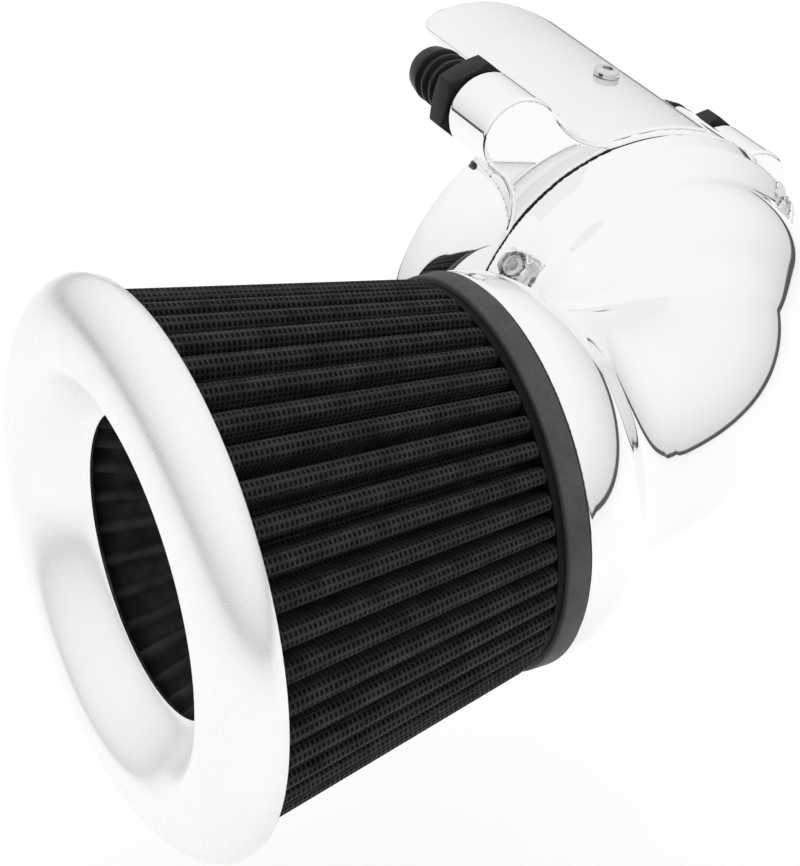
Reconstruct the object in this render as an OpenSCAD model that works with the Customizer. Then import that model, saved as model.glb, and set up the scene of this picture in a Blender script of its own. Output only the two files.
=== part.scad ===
// Cone air filter on a polished 90 degree intake elbow and throttle manifold.
// Millimetres. +Z is up. The origin is the middle of the manifold's rear face,
// where it seats on the throttle body, and +Y points into the throttle body.
// The filter's axis runs along X through y = filter_y, with its mouth at -X.

/* [Filter] */
// Distance from the rear face forward to the filter's axis
filter_offset = 70; // [68:1:74]
// Position along X of the filter's trim ring back edge
ring_back = 171; // [168:1:175]
// Position along X of the rubber base's face against the elbow
base_face = 77; // [76.5:0.1:78]
// Radius over the pleats at the trim ring end
cone_big_r = 70.5; // [68:0.5:71]
// Radius over the pleats at the rubber base end
cone_small_r = 53; // [51:0.5:53]
// Number of pleats round the outer cone
pleats = 48; // [40:1:52]
// Number of pleats round the inner cone
inner_pleats = 30; // [24:1:34]
// Depth of an outer pleat at the trim ring end
pleat_depth = 10.5; // [8:0.5:11]
// Radial thickness of the folded media sandwich
media_t = 3; // [2:0.5:3.5]

/* [Trim ring] */
// Largest radius of the trim ring
ring_r = 75.8; // [75.4:0.1:77]
// Radius of the trim ring's throat
throat_r = 39; // [38:0.5:40]
// Depth of the trim ring from its back edge to its front lip
ring_depth = 15.4; // [15:0.2:17]
// Wall of the trim ring
ring_wall = 2.4; // [2:0.1:2.8]

/* [Rubber base] */
// Outer radius of the rubber base
base_r = 53.4; // [53.2:0.1:54]
// Length of the rubber base along the axis
base_len = 6.4; // [6.2:0.2:8]

/* [Elbow] */
// Radius of the elbow's round mouth
mouth_r = 52.8; // [52:0.1:53]
// Outer radius of the bend
bend_r = 32; // [31:0.5:33]
// Radius of the bend's centre line
bend_path_r = 38; // [37:0.5:39]
// Outer radius of the spigot that carries the rubber base
spigot_r = 45.5; // [45:0.1:45.6]
// Radius of the elbow's flange
flange_r = 56.5; // [56:0.5:58]
// Radius of the dome where it meets the flange
dome_r = 49; // [48:0.5:50]
// How far the dome reaches forward of the flange
dome_depth = 31; // [28:1:33]

/* [Manifold] */
// Depth of the manifold from its front face to its rear face
manifold_d = 20; // [19:0.5:20]
// Radius of the manifold's flared rear edge
flare_r = 62; // [60:0.5:63]
// Radius of the throttle bore
throttle_r = 26; // [24:0.5:26]
// Radius of the circle that the throttle screws sit on
screw_circle_r = 35; // [35:1:36]
// Radius of a breather lobe
lobe_r = 11.5; // [11:0.5:12]

/* [Breather fittings] */
// Hexagon size across its flats
hex_af = 22; // [20:1:22]
// Largest radius of the hose barb
barb_r = 8; // [7:0.5:8.5]
// Length of a fitting behind its hexagon
barb_len = 21; // [18:1:24]

/* [Cover panel] */
// Outer radius of the rolled cover panel
panel_r = 57.5; // [57:0.5:58]
// Thickness of the cover panel
panel_t = 2.2; // [1.5:0.1:2.4]
// Length of the cover panel
panel_len = 100; // [90:1:105]

/* [Hidden] */
filter_y = -filter_offset;
ring_x = -ring_back;
ring_edge_r = ring_r - 0.8;
base_x = -base_face;
spigot_x = base_x - base_len + 0.4;
media_end_x = base_x - base_len - 2.2;
front_y = -manifold_d;
gasket_t = 0.6;
flange_y = front_y - gasket_t;
flange_t = 13.4;
crease_y = flange_y - flange_t;
chamber_r = 44;
floor_y = -9;
neck_x = -47;
elbow_wall = 3.5;
run_gap = 0.05;
flange_screw_angles = [35, 145, 270];
flange_screw_r = 52;
throttle_angles = [90, 210, 330];
groove_r0 = 27.2;
groove_r1 = 30.6;
groove_depth = 1;
left_lobe = [-38.3, 65.3];
right_lobe = [38.5, 31.5];
left_fillet = [15.5, 1];
right_fillet = [25, -1];
hex_turn = 16;
seal_t = 2;
hex_t = 8;
thread_r = 6;
thread_len = 8;
panel_a0 = 65.8;
panel_a1 = 105;
panel_y0 = -18;
panel_screw = [76.6, 20];
cap_x = -106;
cap_t = 7;
cap_r = 19;
bolt_r = 3;
inner_small_r = 15.5;
inner_depth = 6;
screen_t = 0.8;

chrome = [0.86, 0.87, 0.88];
black_cloth = [0.06, 0.06, 0.07];
rubber = [0.16, 0.16, 0.17];
nylon = [0.08, 0.08, 0.09];
steel = [0.72, 0.73, 0.75];

// Turns a profile of [radius, x] round the filter's axis
module round_x(fn = 120) {
    translate([0, filter_y, 0]) rotate([0, 90, 0]) rotate_extrude($fn = fn) children();
}

// Turns a profile of [radius, y] round the throttle's axis
module round_y(fn = 120) {
    rotate([-90, 0, 0]) rotate_extrude($fn = fn) children();
}

// A cylinder along Y that starts at y = y0, at [x, z]
module rod_y(place, y0, len, r, fn = 48) {
    translate([place[0], y0, place[1]]) rotate([-90, 0, 0]) cylinder(h = len, r = r, $fn = fn);
}

// A ring with a straight bore, along the filter's axis
module ring_x_piece(x0, x1, r_in, r_out) {
    round_x() translate([r_in, x0]) square([r_out - r_in, x1 - x0]);
}

function on_circle(r, a) = [r * cos(a), r * sin(a)];

// One closed zigzag outline with its crests at r
function zigzag(n, r, depth) =
    [for (i = [0 : 2 * n - 1]) on_circle(i % 2 == 0 ? r : r - depth, i * 180 / n)];

// Outer surface of the trim ring, from its back edge over the lip to the throat
function ring_skin(inset) = let (
    lip_x = ring_x - ring_depth + inset, lip_r = 56, side_x = ring_x - 3,
    side_r = ring_r - inset, throat = throat_r + inset)
    concat([[ring_edge_r - inset, ring_x]],
        [for (a = [0 : 10 : 90]) [lip_r + (side_r - lip_r) * cos(a),
            side_x + (lip_x - side_x) * sin(a)]],
        [for (u = [0.12 : 0.11 : 1]) let (s = u * u * (3 - 2 * u))
            [lip_r + (throat - lip_r) * (0.55 * u + 0.45 * pow(u, 0.8)),
            lip_x + (ring_x - 2 - lip_x) * (0.35 * u + 0.65 * s)]]);

module trim_ring() {
    color(chrome) round_x(160) difference() {
        polygon(concat(ring_skin(0), [[throat_r, ring_x - 1], [throat_r, ring_x + 0.4],
            [throat_r + 1.6, ring_x + 0.4], [throat_r + 1.6, ring_x]]));
        polygon(concat(ring_skin(ring_wall), [[throat_r + ring_wall, ring_x + 1]],
            [[ring_edge_r - ring_wall, ring_x + 1]]));
    }
}

// The two cones' front ends are potted in this ring, inside the trim ring
module front_end_ring() {
    color(rubber) ring_x_piece(ring_x - 3.5, ring_x - 0.2, throat_r + 6.6, 71.8);
}

// A pleated cone between two positions along X, given by its crest radii
module pleated_cone(n, x0, x1, r0, r1, depth, t) {
    translate([x0, filter_y, 0]) rotate([0, 90, 0])
        linear_extrude(height = x1 - x0, scale = r1 / r0) difference() {
            polygon(zigzag(n, r0, depth));
            polygon(zigzag(n, r0 - t, depth));
        }
}

module outer_media() {
    color(black_cloth) pleated_cone(pleats, ring_x - 0.2, media_end_x,
        cone_big_r, cone_small_r, pleat_depth, media_t);
}

// Shell of a straight cone, given by its outer radii
module cone_shell(x0, x1, r0, r1, t) {
    round_x() polygon([[r0 - t, x0], [r0, x0], [r1, x1], [r1 - t, x1]]);
}

media_in_r0 = cone_big_r - pleat_depth - media_t - 0.4;
media_in_r1 = media_in_r0 * cone_small_r / cone_big_r;

module inner_screen() {
    color(steel) cone_shell(ring_x - 0.2, media_end_x, media_in_r0, media_in_r1, screen_t);
}

inner_big_r = throat_r + ring_wall + inner_depth + media_t + 0.8;

module inner_media() {
    color(black_cloth) pleated_cone(inner_pleats, ring_x - 0.2, cap_x - cap_t / 2,
        inner_big_r, inner_small_r + 3, inner_depth, media_t);
}

// Perforated cone that backs the inner media on its clean side
module inner_cone_screen() {
    color(steel) cone_shell(ring_x - 0.2, cap_x - cap_t / 2, inner_big_r + 1,
        inner_small_r + 4, 0.6);
}

module cone_end_cap() {
    color(rubber) round_x() polygon([[bolt_r + 0.3, cap_x - cap_t / 2],
        [cap_r + 1.5, cap_x - cap_t / 2], [cap_r + 1.5, cap_x + cap_t / 2 - 2],
        [cap_r - 0.5, cap_x + cap_t / 2], [bolt_r + 0.3, cap_x + cap_t / 2]]);
}

module retaining_washer() {
    color(steel) ring_x_piece(cap_x - cap_t / 2 - 1.6, cap_x - cap_t / 2, bolt_r + 0.3, 9);
}

// Hexagon headed bolt from the end cap into the spider
module retaining_bolt() {
    head_x = cap_x - cap_t / 2 - 1.6;
    color(steel) translate([0, filter_y, 0]) rotate([0, 90, 0]) union() {
        translate([0, 0, head_x - 4.5]) cylinder(h = 4.5, r = 5.8, $fn = 6);
        translate([0, 0, head_x]) cylinder(h = spigot_x + 12 - head_x, r = bolt_r, $fn = 48);
    }
}

module rear_end_ring() {
    color(rubber) ring_x_piece(media_end_x, base_x - base_len, 37.5,
        cone_small_r - 1.2);
}

module rubber_base() {
    x0 = base_x - base_len;
    color(rubber) round_x() polygon([[spigot_r + run_gap, x0], [base_r - 0.8, x0],
        [base_r, x0 + 0.8], [base_r, base_x - 0.5], [base_r - 0.5, base_x],
        [spigot_r + run_gap, base_x]]);
}

// Outline of the elbow's mouth, from its face into the neck
function mouth_skin(inset) = let (face_x = base_x + 0.3)
    [for (i = [0 : 12]) let (u = i / 12)
        [bend_r + 0.6 - inset + (mouth_r - bend_r - 0.6) * (1 - pow(u, 2.2)),
        face_x + (neck_x - face_x) * u]];

// Outline of the dome, from the bend out to the flange's crease
function dome_skin(inset) = [for (a = [30 : 10 : 90])
    [(dome_r - inset) * sin(a), crease_y - dome_depth * cos(a)]];

// The outside or the inside of the bend itself
module bend_body(r) {
    translate([-bend_path_r, filter_y + bend_path_r, 0]) rotate([0, 0, -90])
        rotate_extrude(angle = 90, $fn = 120) translate([bend_path_r, 0]) circle(r = r, $fn = 96);
}

module elbow_outside() {
    round_x() polygon(concat([[0, base_x + 0.3]], mouth_skin(0),
        [[bend_r, -bend_path_r], [0, -bend_path_r]]));
    round_x() translate([0, spigot_x]) square([spigot_r, base_x + 1 - spigot_x]);
    bend_body(bend_r);
    round_y() polygon(concat([[0, crease_y - dome_depth * cos(30)]], dome_skin(0),
        [[flange_r - 1.5, flange_y - 6.9], [flange_r, flange_y - 5], [flange_r, flange_y],
        [0, flange_y]]));
}

module elbow_inside() {
    round_x() polygon(concat([[0, spigot_x - 1], [42, spigot_x - 1],
        [42, base_x - 2]], [for (p = mouth_skin(elbow_wall + 0.5)) if (p[1] > base_x + 1.5)
            [min(p[0], 42), p[1]]], [[bend_r - elbow_wall, -bend_path_r], [0, -bend_path_r]]));
    bend_body(bend_r - elbow_wall);
    round_y() polygon(concat([[0, crease_y - (dome_depth - 3.5) * cos(30)]],
        [for (a = [30 : 10 : 90]) [(dome_r - 5) * sin(a), crease_y - (dome_depth - 3.5) * cos(a)]],
        [[chamber_r, flange_y + 1], [0, flange_y + 1]]));
}

module elbow() {
    color(chrome) difference() {
        elbow_outside();
        elbow_inside();
        for (a = flange_screw_angles) {
            rod_y(on_circle(flange_screw_r, a), flange_y - 20, 30, 2.3);
            rod_y(on_circle(flange_screw_r, a), flange_y - 24, 21.3, 4.9);
        }
    }
}

// Three armed bracket inside the elbow's mouth that the bolt screws into
module retaining_spider() {
    x0 = spigot_x + 2;
    t = 6;
    color(steel) union() {
        ring_x_piece(x0, x0 + t, 39.6, 42);
        ring_x_piece(x0, x0 + t, bolt_r + run_gap, 8);
        for (a = [90, 210, 330])
            translate([x0 + 0.5, filter_y, 0]) rotate([a, 0, 0]) translate([0, 7, -2.5])
                cube([t - 1, 33.5, 5]);
    }
}

module elbow_gasket() {
    color(rubber) difference() {
        round_y() translate([chamber_r, flange_y]) square([flange_r - 0.6 - chamber_r, gasket_t]);
        for (a = flange_screw_angles) rod_y(on_circle(flange_screw_r, a), flange_y - 1, 3, 2.3);
    }
}

module flange_screw_washers() {
    color(steel) for (a = flange_screw_angles) difference() {
        rod_y(on_circle(flange_screw_r, a), flange_y - 3.5, 0.8, 4.5);
        rod_y(on_circle(flange_screw_r, a), flange_y - 4, 2, 2.3);
    }
}

// A round headed screw along Y with a hexagon socket, its head towards -Y. It is
// thinner under the head for the length of the neck.
module socket_screw(place, seat_y, r, head_r, head_t, len, neck = 0) {
    translate([place[0], seat_y, place[1]]) rotate([-90, 0, 0]) difference() {
        union() {
            rotate_extrude($fn = 48) polygon([[0, 0], [head_r, 0], [head_r, -head_t * 0.6],
                [head_r * 0.78, -head_t], [0, -head_t]]);
            if (neck > 0) cylinder(h = neck, r = r * 0.8, $fn = 48);
            translate([0, 0, neck]) cylinder(h = len - neck, r = r, $fn = 48);
        }
        translate([0, 0, -head_t - 1]) cylinder(h = head_t * 0.55 + 1, r = r * 0.8, $fn = 6);
    }
}

module flange_screws() {
    color(steel) for (a = flange_screw_angles)
        socket_screw(on_circle(flange_screw_r, a), flange_y - 3.5, 2, 3.75, 3.6, 11);
}

// Centre of the fillet circle of radius f that touches the flange's circle and a lobe
function fillet_centre(lobe, f, side) = let (
    d = norm(lobe), a = flange_r + f, b = lobe_r + f,
    along = (d * d + a * a - b * b) / (2 * d), across = sqrt(a * a - along * along) * side,
    u = lobe / d) [u[0] * along - u[1] * across, u[1] * along + u[0] * across];

// The web between a lobe and the manifold's round body, with its two fillets
module lobe_web(lobe, fillets) {
    centres = [for (f = fillets) fillet_centre(lobe, f[0], f[1])];
    difference() {
        polygon([[0, 0], centres[1], lobe, centres[0]]);
        for (i = [0, 1]) translate(centres[i]) circle(r = fillets[i][0], $fn = 120);
    }
}

// Part of a ring between two angles, along Y
module sector(r0, r1, a0, a1, y0, len) {
    translate([0, y0 + len, 0]) rotate([90, 0, 0]) linear_extrude(height = len)
        difference() {
            polygon(concat([[0, 0]], [for (i = [0 : 4]) on_circle(r1 * 1.1, a0 + (a1 - a0) * i / 4)]));
            circle(r = r0, $fn = 160);
            difference() {
                circle(r = r1 * 2, $fn = 160);
                circle(r = r1, $fn = 160);
            }
        }
}

module manifold_body() {
    hull() {
        rod_y([0, 0], front_y, 1, flange_r, 96);
        rod_y([-8, 0], -2, 2, flare_r, 96);
    }
    for (lobe = [left_lobe, right_lobe]) rod_y(lobe, front_y, manifold_d, lobe_r, 96);
    rotate([90, 0, 0]) linear_extrude(height = manifold_d)
        lobe_web(left_lobe, [left_fillet, right_fillet]);
}

// Arm behind the manifold that the cover panel is screwed to
module panel_arm() {
    intersection() {
        rotate([0, 90 - panel_screw[0], 0]) translate([-8, -10, 46]) cube([16, 38, 14]);
        rod_y([0, 0], -12, 60, panel_r - panel_t - 0.02, 160);
    }
}

module breather_port(lobe) {
    rod_y(lobe, -thread_len - 1, thread_len + 2, thread_r + run_gap);
    translate([0, -5, 0]) rotate([0, -atan2(lobe[1], lobe[0]), 0]) rotate([0, 90, 0])
        cylinder(h = norm(lobe), r = 3, $fn = 32);
}

module manifold() {
    color(chrome) difference() {
        union() {
            difference() {
                manifold_body();
                sector(panel_r - panel_t - 0.1, 95, panel_a0 - 0.6, panel_a1 + 0.6,
                    panel_y0 - 0.2, 40);
            }
            panel_arm();
        }
        rod_y([0, 0], front_y - 1, floor_y - front_y + 1, chamber_r, 120);
        rod_y([0, 0], floor_y - 1, 12, throttle_r, 120);
        for (a = throttle_angles) rod_y(on_circle(screw_circle_r, a), floor_y - 1, 12, 3.3);
        for (a = flange_screw_angles)
            rod_y(on_circle(flange_screw_r, a), front_y - 1, 9, 2 + run_gap);
        round_y() translate([groove_r0, -groove_depth])
            square([groove_r1 - groove_r0, groove_depth + 1]);
        breather_port(left_lobe);
        breather_port(right_lobe);
        rotate([0, 90 - panel_screw[0], 0]) translate([0, panel_screw[1], 48])
            cylinder(h = 20, r = 2 + run_gap, $fn = 48);
    }
}

// Flat ring that lies flush in a groove of the manifold's rear face
module throttle_seal() {
    color(rubber) round_y() translate([groove_r0 + 0.1, -groove_depth])
        square([groove_r1 - groove_r0 - 0.2, groove_depth]);
}

module throttle_screws() {
    color(steel) for (a = throttle_angles)
        socket_screw(on_circle(screw_circle_r, a), floor_y - 1.2, 3, 5, 5, 24,
            neck = 1.2 - floor_y);
}

module throttle_screw_washers() {
    color(steel) for (a = throttle_angles) difference() {
        rod_y(on_circle(screw_circle_r, a), floor_y - 1.2, 1.2, 6);
        rod_y(on_circle(screw_circle_r, a), floor_y - 2, 3, 3.3);
    }
}

// A hexagon body with a threaded end and a barbed hose end, along Y
module breather_fitting(lobe) {
    ribs = 4;
    pitch = 4.1;
    root_r = barb_r - 1.9;
    hex_y = seal_t + hex_t;
    color(nylon) difference() {
        union() {
            rod_y(lobe, -thread_len, thread_len + seal_t, thread_r);
            translate([lobe[0], seal_t, lobe[1]]) rotate([-90, 0, 0])
                rotate([0, 0, -hex_turn]) cylinder(h = hex_t, r = hex_af / sqrt(3), $fn = 6);
            translate([lobe[0], hex_y, lobe[1]]) rotate([-90, 0, 0]) rotate_extrude($fn = 64)
                polygon(concat([[0, 0], [root_r, 0]],
                    [for (i = [0 : ribs - 1], p = [[root_r, 2.2], [barb_r, 2.3], [barb_r, 3.4]])
                        [p[0], p[1] + i * pitch]],
                    [[barb_r - 1.1, barb_len], [0, barb_len]]));
        }
        rod_y(lobe, -thread_len - 1, 60, 4);
    }
}

module left_breather_fitting() { breather_fitting(left_lobe); }
module right_breather_fitting() { breather_fitting(right_lobe); }

module fitting_seal(lobe) {
    color(rubber) difference() {
        rod_y(lobe, 0, seal_t, 9.4);
        rod_y(lobe, -1, 4, thread_r + 0.3);
    }
}

module left_fitting_seal() { fitting_seal(left_lobe); }
module right_fitting_seal() { fitting_seal(right_lobe); }

// Outline of the panel's plan, as x across and y along, with its two end corners
module panel_plan() {
    x0 = panel_r * cos(panel_a1);
    x1 = panel_r * cos(panel_a0);
    end_y = panel_y0 + panel_len;
    corner0 = 8;
    corner1 = 18;
    polygon(concat([[x0 - 1, panel_y0], [x1 + 1, panel_y0]],
        [for (a = [0 : 9 : 90]) [x1 - corner1 + corner1 * cos(a), end_y - corner1 + corner1 * sin(a)]],
        [for (a = [90 : 9 : 180]) [x0 + corner0 + corner0 * cos(a), end_y - corner0 + corner0 * sin(a)]]));
}

module cover_panel() {
    color(chrome) difference() {
        intersection() {
            sector(panel_r - panel_t, panel_r, panel_a0, panel_a1, panel_y0, panel_len);
            linear_extrude(height = 70) panel_plan();
        }
        rotate([0, 90 - panel_screw[0], 0]) translate([0, panel_screw[1], 48])
            cylinder(h = 20, r = 2.3, $fn = 48);
    }
}

module cover_screw() {
    color(steel) rotate([0, 90 - panel_screw[0], 0]) translate([0, panel_screw[1], panel_r])
        difference() {
            union() {
                rotate_extrude($fn = 48) polygon([[0, 0], [3.9, 0], [3.9, 0.5],
                    [3.2, 1.6], [1.8, 2.3], [0, 2.4]]);
                translate([0, 0, -8]) cylinder(h = 8.1, r = 2, $fn = 48);
            }
            translate([0, 0, 0.9]) cylinder(h = 3, r = 1.5, $fn = 6);
        }
}

trim_ring();
front_end_ring();
outer_media();
inner_screen();
inner_media();
inner_cone_screen();
cone_end_cap();
retaining_bolt();
retaining_washer();
rear_end_ring();
rubber_base();
elbow();
retaining_spider();
elbow_gasket();
flange_screws();
flange_screw_washers();
manifold();
throttle_seal();
throttle_screws();
throttle_screw_washers();
left_breather_fitting();
right_breather_fitting();
left_fitting_seal();
right_fitting_seal();
cover_panel();
cover_screw();
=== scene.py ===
"""Looks of the cone air filter and its polished intake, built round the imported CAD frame.

Shapes are worked out in millimetres in the row frame and turned into metres when a mesh is made.
The filter's axis runs along X, the elbow's flange and the manifold are square to Y.
"""
import itertools
import math

import bmesh
import bpy
import numpy as np
from mathutils import Matrix, Vector


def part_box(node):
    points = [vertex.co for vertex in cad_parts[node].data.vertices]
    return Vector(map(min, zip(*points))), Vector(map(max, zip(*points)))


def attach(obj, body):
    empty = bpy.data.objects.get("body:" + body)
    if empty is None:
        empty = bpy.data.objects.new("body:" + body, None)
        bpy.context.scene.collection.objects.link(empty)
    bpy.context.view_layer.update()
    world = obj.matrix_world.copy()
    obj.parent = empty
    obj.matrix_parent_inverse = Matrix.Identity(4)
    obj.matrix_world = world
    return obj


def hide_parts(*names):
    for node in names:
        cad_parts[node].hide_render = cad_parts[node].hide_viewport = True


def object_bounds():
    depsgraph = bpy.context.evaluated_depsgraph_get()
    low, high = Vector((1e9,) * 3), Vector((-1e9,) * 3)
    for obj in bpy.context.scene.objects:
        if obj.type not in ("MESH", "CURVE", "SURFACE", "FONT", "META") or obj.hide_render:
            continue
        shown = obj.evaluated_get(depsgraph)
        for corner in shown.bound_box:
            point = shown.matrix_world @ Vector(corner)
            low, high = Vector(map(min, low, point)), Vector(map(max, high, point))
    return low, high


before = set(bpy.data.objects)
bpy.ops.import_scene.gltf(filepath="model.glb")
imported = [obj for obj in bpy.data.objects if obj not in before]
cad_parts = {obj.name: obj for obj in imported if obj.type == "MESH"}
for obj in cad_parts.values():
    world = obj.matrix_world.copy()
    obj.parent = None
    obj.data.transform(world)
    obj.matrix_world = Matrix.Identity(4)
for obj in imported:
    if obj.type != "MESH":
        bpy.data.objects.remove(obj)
cad_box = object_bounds()
MM = 0.001


def box_mm(node):
    """Lowest and highest corner of a CAD node, in millimetres."""
    low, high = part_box(node)
    return np.array(low) / MM, np.array(high) / MM


RING_LOW, RING_HIGH = box_mm("trim_ring")
BASE_LOW, BASE_HIGH = box_mm("rubber_base")
MEDIA_LOW, MEDIA_HIGH = box_mm("outer_media")
INNER_LOW, INNER_HIGH = box_mm("inner_media")
ELBOW_LOW, ELBOW_HIGH = box_mm("elbow")
BODY_LOW, BODY_HIGH = box_mm("manifold")
PANEL_LOW, PANEL_HIGH = box_mm("cover_panel")
SCREW_LOW, SCREW_HIGH = box_mm("cover_screw")
LEFT_LOW, LEFT_HIGH = box_mm("left_breather_fitting")
RIGHT_LOW, RIGHT_HIGH = box_mm("right_breather_fitting")

AXIS_Y = (RING_LOW[1] + RING_HIGH[1]) / 2
FLANGE_Y = ELBOW_HIGH[1]
FRONT_Y = BODY_LOW[1]
MOUTH_X = BASE_HIGH[0] + 0.3
FLANGE_R = ELBOW_HIGH[2]
THROAT_R = 40.0
MOUTH_R = 52.8
SPIGOT_R = 45.5
SPIGOT_LENGTH = BASE_HIGH[0] - BASE_LOW[0]
COLLAR_LENGTH = 29.0
NECK_R = 32.6
BEND_R = 38.0
CHAMBER_R = 44.0
THROTTLE_R = 26.0
THROTTLE_SCREW_R = 35.0
FLANGE_SCREW_R = 52.0
FLOOR_Y = -9.0
FLANGE_SCREWS = (35, 145, 270)
THROTTLE_SCREWS = (90, 210, 330)
LEFT_LOBE = ((LEFT_LOW[0] + LEFT_HIGH[0]) / 2, (LEFT_LOW[2] + LEFT_HIGH[2]) / 2)
RIGHT_LOBE = ((RIGHT_LOW[0] + RIGHT_HIGH[0]) / 2, (RIGHT_LOW[2] + RIGHT_HIGH[2]) / 2)
LOBE_R = 11.5
PANEL_R = PANEL_HIGH[2]
PANEL_T = 2.2
PANEL_ANGLES = (65.8, 105.0)
PANEL_SCREW_ANGLE = 76.6
BEND_START_R = 33.0
BEND_MIDDLE_R = 31.6
BEND_END_R = 40.0
NOTCH_R = 4.9
NOTCH_MIDDLE = 41.8
NOTCH_HALF = 4.1
FLARE_R = 62.0
FLARE_SHIFT = 8.0
SEAL_GROOVE = (27.2, 30.6)
OUTER_PLEATS = 48
INNER_PLEATS = 30
PLEAT_DEPTH = 10.5
INNER_PLEAT_DEPTH = 6.0
MEDIA_T = 3.0
MEDIA_SMALL_R = 53.0
INNER_SMALL_R = 18.5


# ---------------------------------------------------------------- materials


class Nodes:
    """A Principled material and short ways to add texture nodes to it."""

    def __init__(self, name, **inputs):
        self.material = bpy.data.materials.new(name)
        self.material.use_nodes = True
        self.tree = self.material.node_tree
        self.shader = self.tree.nodes["Principled BSDF"]
        for socket, value in inputs.items():
            self.shader.inputs[socket.replace("_", " ")].default_value = value
        self.place = self.add("ShaderNodeTexCoord").outputs["Object"]

    def add(self, kind, **settings):
        node = self.tree.nodes.new(kind)
        for key, value in settings.items():
            setattr(node, key, value)
        return node

    def link(self, source, target):
        self.tree.links.new(source, target)

    def noise(self, scale, detail=3.0, rough=0.55, place=None):
        node = self.add("ShaderNodeTexNoise")
        node.inputs["Scale"].default_value = scale
        node.inputs["Detail"].default_value = detail
        node.inputs["Roughness"].default_value = rough
        self.link(place or self.place, node.inputs["Vector"])
        return node.outputs["Fac"]

    def spread(self, value, low, high, start=0.3, end=0.7):
        """Maps a value from start..end to low..high."""
        node = self.add("ShaderNodeMapRange")
        for socket, number in zip(("From Min", "From Max", "To Min", "To Max"), (start, end, low, high)):
            node.inputs[socket].default_value = number
        self.link(value, node.inputs["Value"])
        return node.outputs["Result"]

    def math(self, operation, a, b=None):
        node = self.add("ShaderNodeMath", operation=operation)
        for socket, value in zip(node.inputs, (a, b)):
            if isinstance(value, (int, float)):
                socket.default_value = value
            elif value is not None:
                self.link(value, socket)
        return node.outputs[0]

    def colours(self, factor, *stops):
        """A colour ramp of (position, colour) stops."""
        node = self.add("ShaderNodeValToRGB")
        ramp = node.color_ramp
        while len(ramp.elements) < len(stops):
            ramp.elements.new(0.5)
        for element, (position, colour) in zip(ramp.elements, stops):
            element.position = position
            element.color = (*colour, 1)
        self.link(factor, node.inputs["Fac"])
        return node.outputs["Color"]

    def bump(self, height, distance, strength=1.0, below=None):
        node = self.add("ShaderNodeBump")
        node.inputs["Distance"].default_value = distance
        node.inputs["Strength"].default_value = strength
        self.link(height, node.inputs["Height"])
        if below:
            self.link(below, node.inputs["Normal"])
        return node.outputs["Normal"]

    def finish(self, colour=None, rough=None, normal=None):
        for source, socket in ((colour, "Base Color"), (rough, "Roughness"), (normal, "Normal")):
            if source:
                self.link(source, self.shader.inputs[socket])
        return self.material


def grey(value, blue=0.0):
    return (value, value, value * (1 + blue))


def chrome(name, shade, rough, wave):
    """Polished metal with a faint casting wave, polishing haze and finger smudges."""
    m = Nodes(name, Metallic=1.0)
    tone = m.colours(m.noise(45, 4), (0.3, grey(shade - 0.02, 0.008)), (0.7, grey(shade, 0.004)))
    haze = m.spread(m.noise(120, 5, 0.65), rough[0], rough[1])
    scratch = m.spread(m.noise(2600, 2), 0, 0.012, 0.62, 0.75)
    surface = m.bump(m.noise(38, 2), wave, 0.3)
    surface = m.bump(m.noise(900, 3), 0.000002, 0.15, surface)
    return m.finish(tone, m.math("ADD", haze, scratch), surface)


def media_material(name, dark, light):
    """Black pleated gauze: threads of a coated wire grid over fine cloth, counted by the UV map. The wires
    are coloured lighter than the cloth, partly their own colour and partly painted highlight on the glossy
    wires.
    """
    m = Nodes(name, Sheen_Weight=0.02, Sheen_Roughness=0.5, Specular_IOR_Level=0.06)
    uv = m.add("ShaderNodeUVMap", uv_map="threads").outputs["UV"]
    split = m.add("ShaderNodeSeparateXYZ")
    m.link(uv, split.inputs[0])
    wires = []
    for axis in (0, 1):
        from_wire = m.math("PINGPONG", split.outputs[axis], 0.5)
        wires.append(m.spread(from_wire, 1, 0, 0.06, 0.3))
    grid = m.math("MAXIMUM", *wires)
    weave = m.add("ShaderNodeVectorMath", operation="MULTIPLY")
    weave.inputs[1].default_value = (5, 5, 0)
    m.link(uv, weave.inputs[0])
    cloth = m.noise(1.0, 2, 0.5, weave.outputs[0])
    uneven = m.noise(160, 3)
    level = m.math("ADD", m.math("MULTIPLY", grid, 0.75), m.math("MULTIPLY", cloth, 0.25))
    level = m.math("MULTIPLY", level, m.spread(uneven, 0.45, 1.15))
    # the wires' lighter tone is partly their own colour and partly painted highlight
    tone = m.colours(level, (0.05, grey(dark, 0.08)), (0.95, grey(light, 0.08)))
    rough = m.spread(grid, 0.82, 0.5, 0, 1)
    normal = m.bump(cloth, 0.00008, 0.5)
    normal = m.bump(grid, 0.00014, 0.9, normal)
    return m.finish(tone, rough, normal)


def moulded(name, low, high, rough, grain, depth, metallic=0.0, gloss=0.5):
    """Rubber, nylon, potting or plated steel: uneven tone, worn patches and a fine moulded grain."""
    m = Nodes(name, Metallic=metallic, Specular_IOR_Level=gloss)
    mottle = m.math("ADD", m.math("MULTIPLY", m.noise(70, 4), 0.6), m.math("MULTIPLY", m.noise(700, 2), 0.4))
    tone = m.colours(mottle, (0.32, grey(low)), (0.68, grey(high)))
    surface = m.bump(m.noise(grain, 3, 0.6), depth, 0.6)
    surface = m.bump(m.noise(120, 2), depth * 2, 0.25, surface)
    return m.finish(tone, m.spread(m.noise(260, 4), rough[0], rough[1]), surface)


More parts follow.
